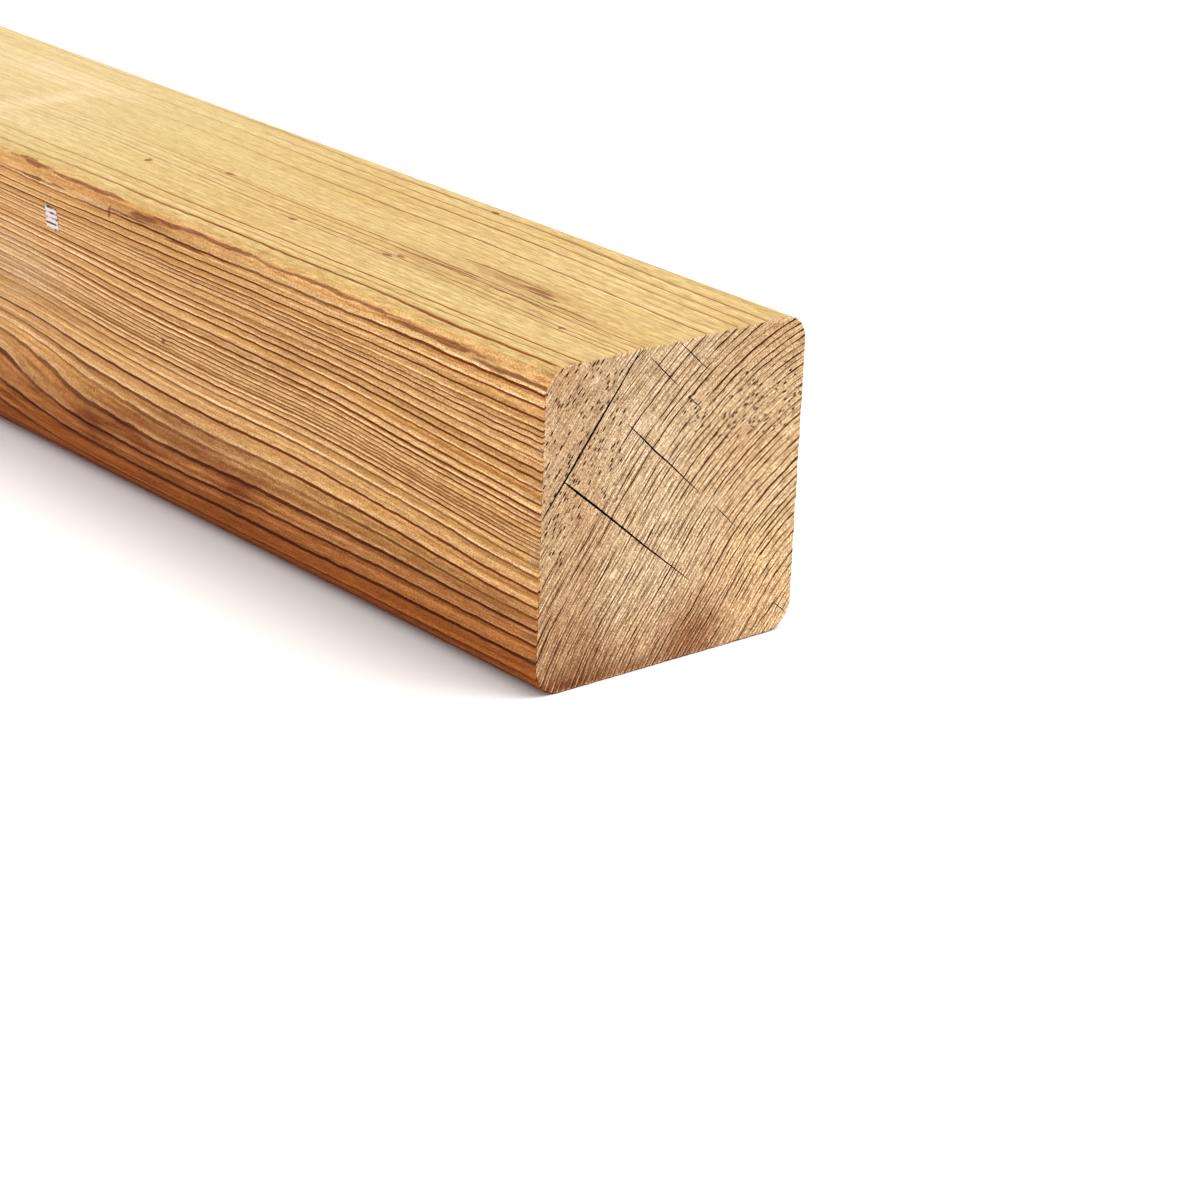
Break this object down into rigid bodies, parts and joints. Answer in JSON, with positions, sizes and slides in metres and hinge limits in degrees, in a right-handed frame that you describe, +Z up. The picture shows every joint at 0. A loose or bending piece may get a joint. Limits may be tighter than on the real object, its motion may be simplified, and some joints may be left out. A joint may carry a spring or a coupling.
{
  "type": "wooden post",
  "caption": "Square softwood porch post with rounded arrises, drying cracks in one weathered end and a scrap of old label on one side.",
  "frame": {"origin": "centre of the planed face that the post lies on, in the plane of that face", "axes": "+X along the post towards its cracked, weathered end; +Y across to the side away from the label scrap; +Z up from the resting face"},
  "size_m": [1.2, 0.0902, 0.09],
  "materials": {
    "weathered_softwood": "planed bare softwood, weathered golden brown with dark latewood lines, paler on top and sawn grey-beige on the ends",
    "printed_paper": "matt white label paper with plain dark bars, torn and dirty"
  },
  "bodies": {
    "root": {"post": "weathered_softwood", "label_scrap": "printed_paper"}
  },
  "joints": []
}
